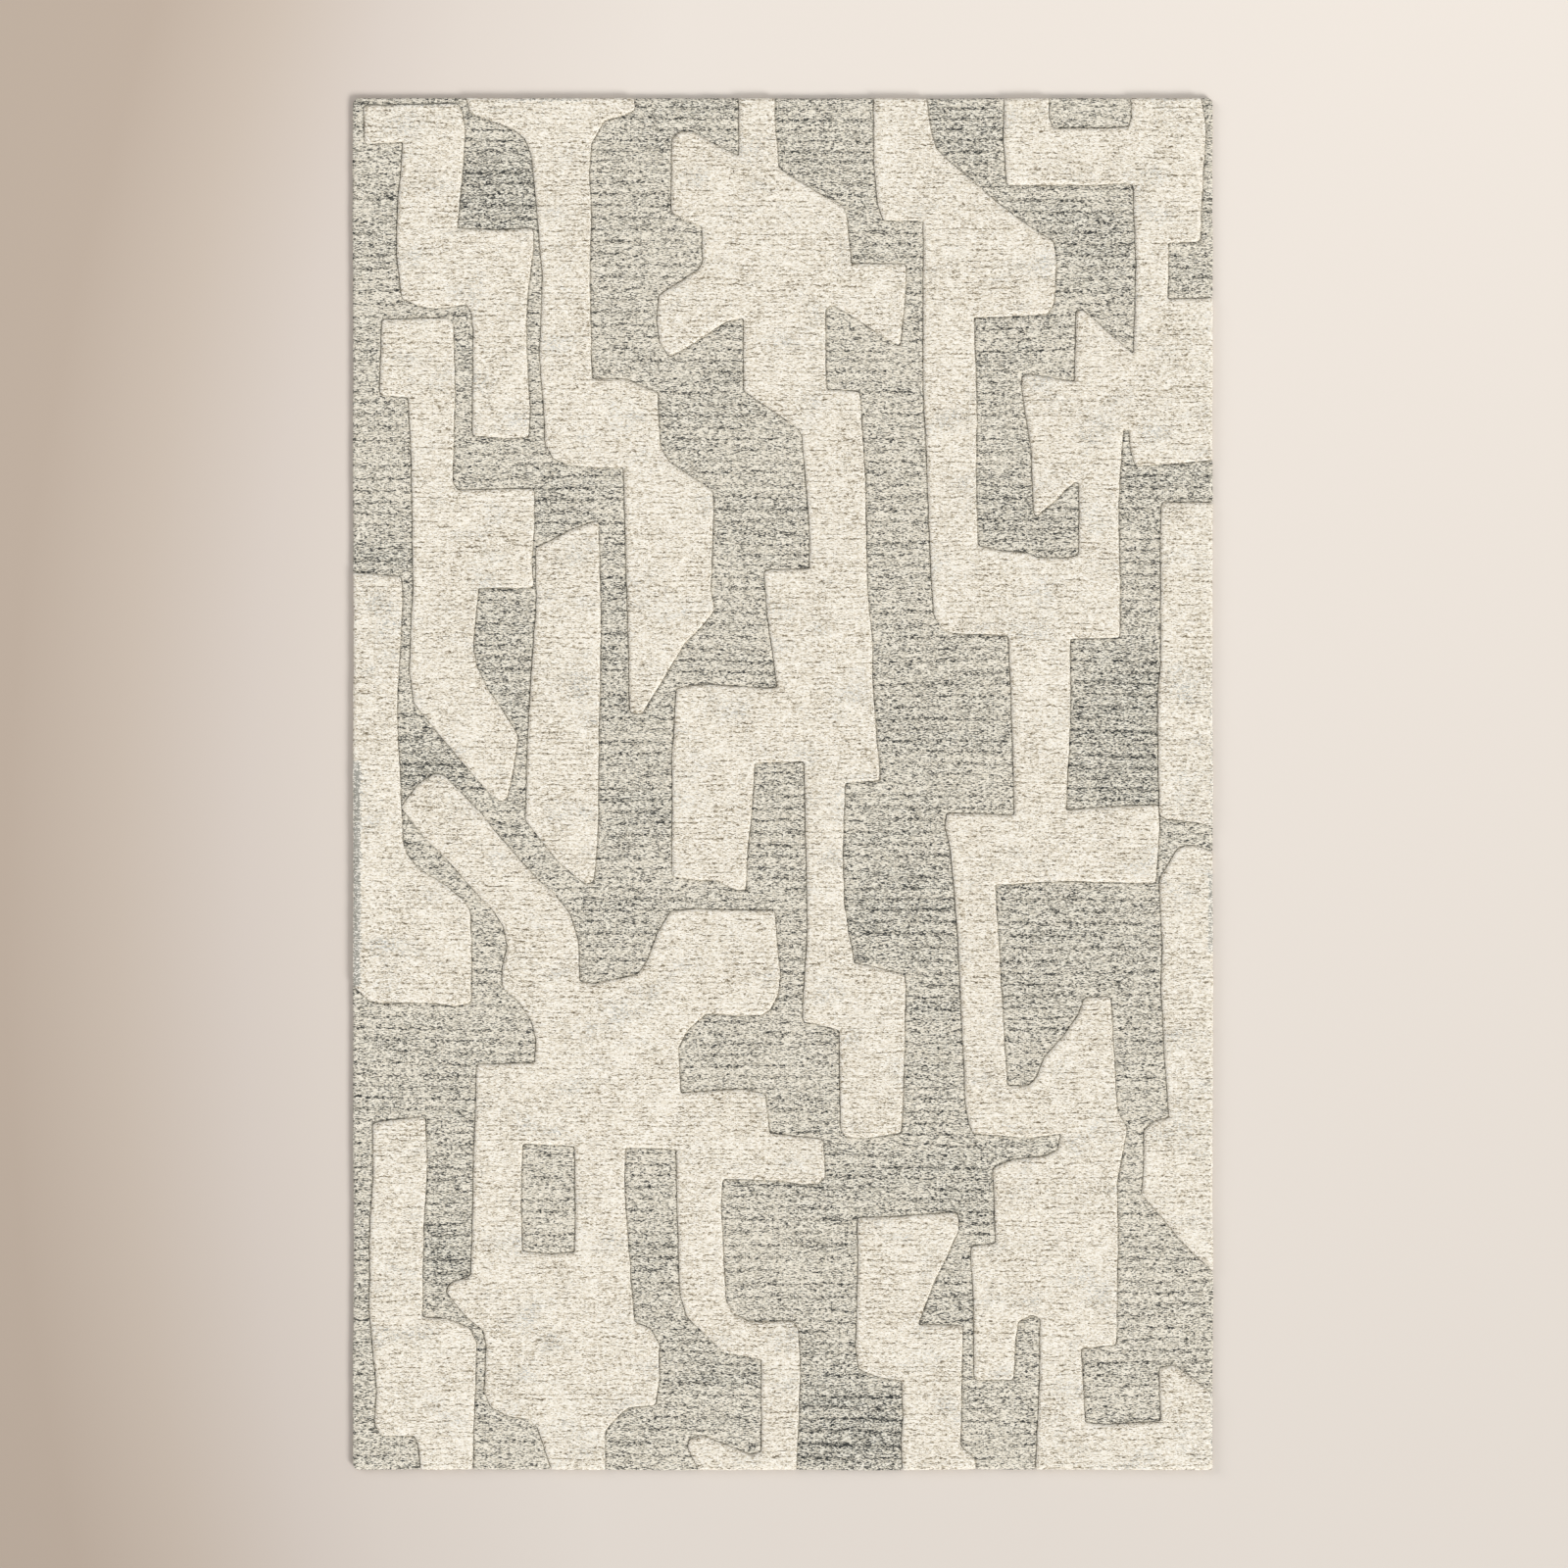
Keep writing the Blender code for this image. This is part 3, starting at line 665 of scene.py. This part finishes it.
def makePile(name, kind):
    size = piles[kind]
    low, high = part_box(name)
    nudge = np.random.default_rng(sum(map(ord, name)))
    drawn = [evenlySpaced(loop, outlineStep) for loop in outlinesOf(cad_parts[name])]
    loops = [softened(loop, nudge) for loop in drawn]
    places, gap = tuftedInside(loops, low, high, size, nudge)
    faces, rings = skinOver(places, loops)
    tuft = nudge.random(len(places)) - 0.5
    z, crinkle = heightsOver(places, gap, tuft, high.z, size)
    walls, wallSkins, foot = wallsUnder(places, z, rings, low.z, nudge)
    points = np.vstack([np.column_stack([strayed(places), z]), *walls])
    underside, _ = skinOver(np.vstack(loops), loops)
    skins = np.vstack([faces, *wallSkins, foot[underside][:, ::-1]])

    mesh = bpy.data.meshes.new(name + "_tufts")
    mesh.from_pydata(points, [], skins)
    mesh.update()
    mesh.shade_smooth()
    noWall = np.zeros(len(points) - len(places))
    # painted groove shade mask: 1 at an outline, fading inwards, none at the rug's edge; the
    # heather darkens by it
    grooveShade = np.exp(-((gap / size["grooveShadeWidth"]) ** 2)) * ~atRugEdge(places)
    # painted shade: crinkles and lower tufts are darkened in the wool's colour; tufts that stand
    # proud are not
    sunkenShade = np.clip(crinkle * crinkleShade + lowTuftShade * (proudTuft - tuft), 0, 1)
    values = {
        "rim": np.concatenate([grooveShade, noWall]),
        "sunkenShade": np.concatenate([sunkenShade, noWall]),
        "row": rowAt(points[:, :2], size["rowSpacing"]),
    }
    if kind == "heather":
        values["dye"] = dyeAt(points[:, :2])
    else:
        values["stray"] = strayAt(points[:, :2])
    for label, numbers in values.items():
        made = mesh.attributes.new(label, "FLOAT", "POINT")
        made.data.foreach_set("value", numbers.astype(np.float32))
    piece = bpy.data.objects.new(name + "_tufts", mesh)
    bpy.context.scene.collection.objects.link(piece)
    mesh.materials.append(wools[kind])
    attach(piece, "root")
    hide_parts(name)
    return piece


for name in sorted(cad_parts):
    if "_pile_" in name:
        makePile(name, name.split("_")[0])


weave = {
    "roughness": 0.9,
    "sheen": 0.08,
    "crown": 0.4,   # how flat a thread lies where it is on top
    "slubRun": 0.12,
    "slubsPerMetre": 420,
    "blotchesPerMetre": 14,
    # how strongly the painted thread shade darkens the dips between threads
    "threadShadeShare": 0.55,
    "slubShare": 0.35,
    "blotchShare": 0.3,
    "bumpStrength": 0.8,
}


def cottonWeave(name, colours, threadPitch):
    # plain weave: in each square either the thread across or the thread along is on top
    made, tree, shader, spot = startFabric(name, weave["roughness"], weave["sheen"])
    parts = addNode(tree, "ShaderNodeSeparateXYZ", {"Vector": spot}).outputs
    domes = []
    for side in (0, 1):
        run = sums(tree, "ADD", parts[side], parts[2])   # so that the weave goes on round a fold
        wave = sums(tree, "SINE", sums(tree, "MULTIPLY", run, math.pi / threadPitch))
        domes.append(sums(tree, "ABSOLUTE", wave))
    flat = stretched(tree, spot, (1.0, 1.0, 0.0))
    onTop = addNode(tree, "ShaderNodeTexChecker", {"Vector": flat, "Scale": 1 / threadPitch})
    across = sums(tree, "MULTIPLY", sums(tree, "POWER", domes[0], weave["crown"]), domes[1])
    along = sums(tree, "MULTIPLY", sums(tree, "POWER", domes[1], weave["crown"]), domes[0])
    choice = {0: onTop.outputs["Fac"], 2: across, 3: along}
    height = addNode(tree, "ShaderNodeMix", choice).outputs[0]
    slubRun = stretched(tree, spot, (weave["slubRun"], 1.0, 1.0))
    slubs = noiseOf(tree, slubRun, weave["slubsPerMetre"])
    blotch = noiseOf(tree, spot, weave["blotchesPerMetre"], 3.0)
    # painted shade: each thread's colour is darker where it dips under the other and lighter on its
    # crown
    shade = sums(tree, "MULTIPLY_ADD", height, weave["threadShadeShare"], 0.0)
    shade = sums(tree, "MULTIPLY_ADD", slubs, weave["slubShare"], shade)
    shade = sums(tree, "MULTIPLY_ADD", blotch, weave["blotchShare"], shade, clamp=True)
    colour = rampOf(tree, shade, colours)
    finishFabric(tree, shader, colour, height, threadPitch / 3, weave["bumpStrength"])
    return made


def mottled(name, look):
    made, tree, shader, spot = startFabric(name, look["roughness"], 0.0)
    fine = noiseOf(tree, spot, look["specksPerMetre"], 4.0, 0.6)
    coarse = noiseOf(tree, spot, look["specksPerMetre"] / 20)
    shade = sums(tree, "MULTIPLY_ADD", coarse, 0.6, sums(tree, "MULTIPLY", fine, 0.4))
    colour = rampOf(tree, shade, [(0.3, look["dark"]), (0.7, look["pale"])])
    finishFabric(tree, shader, colour, fine, 0.4 * mm, 0.6)
    return made


def onlySelect(piece):
    bpy.ops.object.select_all(action="DESELECT")
    piece.select_set(True)
    bpy.context.view_layer.objects.active = piece


def selectEdge():
    bpy.ops.mesh.select_mode(type="EDGE")
    bpy.ops.mesh.select_all(action="DESELECT")
    bpy.ops.mesh.select_non_manifold(
        extend=False,
        use_wire=False,
        use_boundary=True,
        use_multi_face=False,
        use_non_contiguous=False,
        use_verts=False,
    )


clothSquares = (60, 96)
cornerRadius = 6 * mm
cornerSteps = 4
creaseAngle = math.radians(50)


def flatCloth(name, width, length, z):
    # a flat cloth of small squares with rounded corners, left in edit mode with its edge selected
    bpy.ops.object.select_all(action="DESELECT")
    bpy.ops.mesh.primitive_grid_add(
        x_subdivisions=clothSquares[0],
        y_subdivisions=clothSquares[1],
        size=1,
        location=(0, 0, z),
    )
    piece = bpy.context.object
    piece.name = piece.data.name = name
    piece.scale = (width, length, 1)
    bpy.ops.object.transform_apply(location=True, rotation=True, scale=True)
    bpy.ops.object.mode_set(mode="EDIT")
    bpy.ops.mesh.select_mode(type="VERT")
    bpy.ops.mesh.select_all(action="DESELECT")
    shape = bmesh.from_edit_mesh(piece.data)
    for vert in shape.verts:
        vert.select = len(vert.link_edges) == 2
    bmesh.update_edit_mesh(piece.data)
    bpy.ops.mesh.bevel(offset=cornerRadius, segments=cornerSteps, affect="VERTICES")
    selectEdge()
    return piece


def thickened(piece, thickness, offset):
    onlySelect(piece)
    bpy.ops.object.modifier_add(type="SOLIDIFY")
    piece.modifiers[-1].thickness = thickness
    piece.modifiers[-1].offset = offset
    piece.modifiers[-1].use_even_offset = True
    bpy.ops.object.modifier_apply(modifier=piece.modifiers[-1].name)


def repeated(piece, count, step):
    onlySelect(piece)
    bpy.ops.object.modifier_add(type="ARRAY")
    array = piece.modifiers[-1]
    array.count = count
    array.use_relative_offset = False
    array.use_constant_offset = True
    array.constant_offset_displace = step
    bpy.ops.object.modifier_apply(modifier=array.name)


def joined(pieces, name):
    for piece in pieces:
        piece.select_set(True)
    bpy.context.view_layer.objects.active = pieces[0]
    bpy.ops.object.join()
    whole = bpy.context.object
    whole.name = whole.data.name = name
    return whole


def finishUnder(piece, node, material):
    mesh = piece.data
    points = np.empty(len(mesh.vertices) * 3)
    mesh.vertices.foreach_get("co", points)
    points = points.reshape(-1, 3)
    points[:, :2] = strayed(points[:, :2], ("long",))
    mesh.vertices.foreach_set("co", points.ravel())
    mesh.materials.clear()
    mesh.materials.append(material)
    mesh.update()
    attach(piece, "root")
    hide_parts(node)
    print(piece.name, "made,", len(mesh.polygons), "faces")


tuftingCloth = {
    "inset": 3.45 * mm,   # from the rug's edge to the middle of the folded cloth
    "middle": 3.95 * mm,
    "foldHeight": 2.3 * mm,
    "foldRounding": 0.45,
    "hem": 38 * mm,
    "thickness": 0.9 * mm,
    "threadPitch": 1.3 * mm,
    "colours": [
        (0.15, (0.30, 0.275, 0.225)),
        (0.5, (0.62, 0.58, 0.49)),
        (0.95, (0.78, 0.74, 0.64)),
    ],
}


def makeTuftingCloth(look):
    width, length = rugWidth - 2 * look["inset"], rugLength - 2 * look["inset"]
    piece = flatCloth("tufting_cloth_folded", width, length, look["middle"])
    # the edge goes down, then back under as the hem
    bpy.ops.mesh.extrude_edges_move(TRANSFORM_OT_translate={"value": (0, 0, -look["foldHeight"])})
    bpy.ops.mesh.extrude_edges_move(TRANSFORM_OT_translate={"value": (0, 0, 0)})
    inwards = (1 - 2 * look["hem"] / width, 1 - 2 * look["hem"] / length, 1)
    bpy.ops.transform.resize(value=inwards, center_override=(0, 0, 0))
    # round the fold
    shape = bmesh.from_edit_mesh(piece.data)
    for edge in shape.edges:
        edge.select = (
            len(edge.link_faces) == 2
            and abs(edge.verts[0].co.z - edge.verts[1].co.z) < 1e-6
            and sum(abs(face.normal.z) < 0.5 for face in edge.link_faces) == 1
        )
    bmesh.update_edit_mesh(piece.data)
    bpy.ops.mesh.bevel(offset=look["foldHeight"] * look["foldRounding"], segments=3, affect="EDGES")
    bpy.ops.object.mode_set(mode="OBJECT")
    thickened(piece, look["thickness"], 0)
    bpy.ops.object.shade_smooth_by_angle(angle=creaseAngle)
    cotton = cottonWeave("tuftingClothWeave", look["colours"], look["threadPitch"])
    finishUnder(piece, "tufting_cloth_with_hem", cotton)
    return piece


backingCloth = {
    "inset": 12 * mm,
    "bottom": 0.02 * mm,
    "border": 5 * mm,   # held up against the hem by the stitches
    "lift": 0.27 * mm,
    "thickness": 0.6 * mm,
    "threadPitch": 1.0 * mm,
    "colours": [
        (0.15, (0.42, 0.37, 0.28)),
        (0.5, (0.74, 0.68, 0.56)),
        (0.95, (0.88, 0.83, 0.71)),
    ],
}


def makeBackingCloth(look):
    width, length = rugWidth - 2 * look["inset"], rugLength - 2 * look["inset"]
    piece = flatCloth("backing_canvas", width, length, look["bottom"])
    bpy.ops.mesh.select_all(action="SELECT")
    bpy.ops.mesh.inset(thickness=look["border"], use_boundary=True)
    selectEdge()
    bpy.ops.transform.translate(value=(0, 0, look["lift"]))
    bpy.ops.object.mode_set(mode="OBJECT")
    thickened(piece, look["thickness"], 1)
    bpy.ops.object.shade_smooth_by_angle(angle=creaseAngle)
    canvas = cottonWeave("canvasWeave", look["colours"], look["threadPitch"])
    finishUnder(piece, "backing_cloth", canvas)
    return piece


whipStitch = {
    "sides": 6,
    "halfWidth": 0.55 * mm,
    "flatness": 0.38,
    "pitch": 9 * mm,
    "endGap": 8 * mm,
    # one stitch, from the hem over the backing's edge, in millimetres: along the edge, out, up
    "path": [
        (-2.3, 3.6, 1.1),
        (-1.5, 2.6, 0.5),
        (0.0, 0.6, 0.27),
        (1.5, -1.8, 0.26),
        (2.3, -3.4, 0.55),
    ],
    "pale": (0.80, 0.75, 0.64),
    "dark": (0.50, 0.45, 0.36),
    "roughness": 0.85,
    "specksPerMetre": 2600,
}


def oneStitch(look, path, start):
    # a flattened tube along the path
    slant = math.atan2(path[-1].x - path[0].x, path[-1].y - path[0].y)
    bpy.ops.object.select_all(action="DESELECT")
    bpy.ops.mesh.primitive_circle_add(
        vertices=look["sides"],
        radius=look["halfWidth"],
        fill_type="NGON",
        location=start,
        rotation=(math.radians(90), 0, -slant),
    )
    stitch = bpy.context.object
    bpy.ops.object.transform_apply(location=True, rotation=True, scale=True)
    bpy.ops.object.mode_set(mode="EDIT")
    bpy.ops.mesh.select_all(action="SELECT")
    bpy.ops.transform.resize(value=(1, 1, look["flatness"]), center_override=start)
    for here, there in zip(path, path[1:]):
        bpy.ops.mesh.extrude_region_move(TRANSFORM_OT_translate={"value": there - here})
    bpy.ops.mesh.select_all(action="SELECT")
    bpy.ops.mesh.normals_make_consistent(inside=False)
    bpy.ops.object.mode_set(mode="OBJECT")
    return stitch


def makeWhipStitches(look):
    halfWidth = rugWidth / 2 - backingCloth["inset"]
    halfLength = rugLength / 2 - backingCloth["inset"]
    path = [Vector((along * mm, -out * mm, up * mm)) for along, out, up in look["path"]]
    rows = []
    for turn in range(4):
        run, edge = (halfWidth, halfLength) if turn % 2 == 0 else (halfLength, halfWidth)
        row = oneStitch(look, path, Vector((look["endGap"] - run, -edge, 0)) + path[0])
        count = int(2 * (run - look["endGap"]) / look["pitch"]) + 1
        repeated(row, count, (2 * (run - look["endGap"]) / (count - 1), 0, 0))
        row.rotation_euler[2] = turn * math.radians(90)
        bpy.ops.object.transform_apply(location=True, rotation=True, scale=True)
        rows.append(row)
    piece = joined(rows, "whip_stitches")
    bpy.ops.object.shade_smooth()
    thread = mottled("whippingThread", look)
    finishUnder(piece, "backing_whip_stitch", thread)
    return piece


scrimNet = {
    "inset": 41.3 * mm,
    "pitch": 12 * mm,
    "thread": 0.3 * mm,
    "levels": (1.65 * mm, 1.95 * mm),
    "pale": (0.82, 0.79, 0.72),
    "dark": (0.60, 0.57, 0.50),
    "roughness": 0.9,
    "specksPerMetre": 1800,
}


def makeScrim(look):
    halfWidth, halfLength = rugWidth / 2 - look["inset"], rugLength / 2 - look["inset"]
    layers = []
    for turn, (run, reach) in enumerate(((halfLength, halfWidth), (halfWidth, halfLength))):
        bpy.ops.object.select_all(action="DESELECT")
        bpy.ops.mesh.primitive_cylinder_add(
            vertices=6,
            radius=look["thread"] / 2,
            depth=2 * run,
            location=(-reach, 0, look["levels"][turn]),
            rotation=(math.radians(90), 0, 0),
        )
        layer = bpy.context.object
        bpy.ops.object.transform_apply(location=True, rotation=True, scale=True)
        count = int(2 * reach / look["pitch"]) + 1
        repeated(layer, count, (2 * reach / (count - 1), 0, 0))
        layer.rotation_euler[2] = turn * math.radians(90)
        bpy.ops.object.transform_apply(location=True, rotation=True, scale=True)
        layers.append(layer)
    piece = joined(layers, "scrim_threads")
    finishUnder(piece, "scrim_net", mottled("scrimCotton", look))
    return piece


latexCoat = {
    "pale": (0.70, 0.65, 0.51),
    "dark": (0.50, 0.45, 0.34),
    "roughness": 0.6,
    "specksPerMetre": 300,
}

cloth = makeTuftingCloth(tuftingCloth)
backing = makeBackingCloth(backingCloth)
stitches = makeWhipStitches(whipStitch)
scrim = makeScrim(scrimNet)
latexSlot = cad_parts["latex_adhesive_coat"].material_slots[0]
latexSlot.material = mottled("latexAdhesive", latexCoat)


plaster = {
    "size": 60.0,
    # painted light falloff: the floor's colour darkens to the left, more so towards the far corners
    "cornerStart": 0.25,
    "cornerPull": -0.1,
    "rampStart": -2.6,
    "rampWidth": 4.2,
    "colours": [
        (0.00, (0.68, 0.61, 0.545)),
        (0.22, (0.49, 0.41, 0.342)),
        (0.289, (0.510, 0.425, 0.356)),
        (0.337, (0.596, 0.514, 0.445)),
        (0.390, (0.692, 0.624, 0.575)),
        (0.424, (0.738, 0.675, 0.624)),
        (0.512, (0.80, 0.745, 0.695)),
        (0.80, (0.83, 0.775, 0.722)),
    ],
    # painted light falloff: a little darker towards the near end
    "falloffLength": 2.8,
    "falloffShare": 0.15,
    "falloffShade": (0.13, 0.11, 0.10),
    "roughness": 0.9,
    "shine": 0.1,
}


def paintOf(look):
    made = bpy.data.materials.new("palePlaster")
    made.use_nodes = True
    tree = made.node_tree
    spot = addNode(tree, "ShaderNodeTexCoord", {}).outputs["Object"]
    parts = addNode(tree, "ShaderNodeSeparateXYZ", {"Vector": spot}).outputs
    # painted light falloff, darker to the left and towards the far corners
    corner = sums(tree, "POWER", sums(tree, "ADD", parts[1], look["cornerStart"]), 2.0)
    share = sums(tree, "MULTIPLY_ADD", corner, look["cornerPull"], parts[0])
    slope, start = 1 / look["rampWidth"], -look["rampStart"] / look["rampWidth"]
    share = sums(tree, "MULTIPLY_ADD", share, slope, start, clamp=True)
    colour = rampOf(tree, share, look["colours"])
    # painted light falloff, darker towards the near end
    falloff = sums(tree, "MULTIPLY_ADD", parts[1], -1 / look["falloffLength"], 0.5, clamp=True)
    falloff = sums(tree, "MULTIPLY", falloff, look["falloffShare"])
    colour = mixColours(tree, falloff, colour, look["falloffShade"])
    shader = tree.nodes["Principled BSDF"]
    tree.links.new(colour, shader.inputs["Base Color"])
    shader.inputs["Roughness"].default_value = look["roughness"]
    shader.inputs["Specular IOR Level"].default_value = look["shine"]
    return made


bpy.ops.object.select_all(action="DESELECT")
bpy.ops.mesh.primitive_plane_add(size=plaster["size"], location=(0, 0, 0))
floor = bpy.context.object
floor.name = "floor"
floor.data.materials.append(paintOf(plaster))

skyColour = (1.0, 0.985, 0.965, 1)
skyStrength = 0.52
world = bpy.data.worlds.new("studio")
bpy.context.scene.world = world
world.use_nodes = True
world.node_tree.nodes["Background"].inputs[0].default_value = skyColour
world.node_tree.nodes["Background"].inputs[1].default_value = skyStrength

sunColour = (1.0, 0.985, 0.96)
sunDistance = 4
suns = {
    "softKeyLight": {"from": (0.85, -0.85, 0.8), "strength": 2.5, "spread": 24},
    "fillLight": {"from": (-0.9, 0.5, 0.55), "strength": 0.72, "spread": 30},
}
for name, look in suns.items():
    data = bpy.data.lights.new(name, "SUN")
    data.energy = look["strength"]
    data.angle = math.radians(look["spread"])
    data.color = sunColour
    light = bpy.data.objects.new(name, data)
    bpy.context.scene.collection.objects.link(light)
    light.location = Vector(look["from"]) * sunDistance
    light.rotation_euler = (-Vector(look["from"])).to_track_quat("-Z", "Y").to_euler()

viewWidth = 2.787   # how much the camera sees across, at the top of the pile
cameraHeight = 14.0
data = bpy.data.cameras.new("overhead")
data.sensor_width = 36
data.lens = data.sensor_width * (cameraHeight - cadBox[1][2]) / viewWidth
data.clip_end = 100
camera = bpy.data.objects.new("overhead", data)
camera.location = (0, 0, cameraHeight)
bpy.context.scene.collection.objects.link(camera)
bpy.context.scene.camera = camera
bpy.context.scene.view_settings.view_transform = "Standard"
print("floor, light and camera placed")
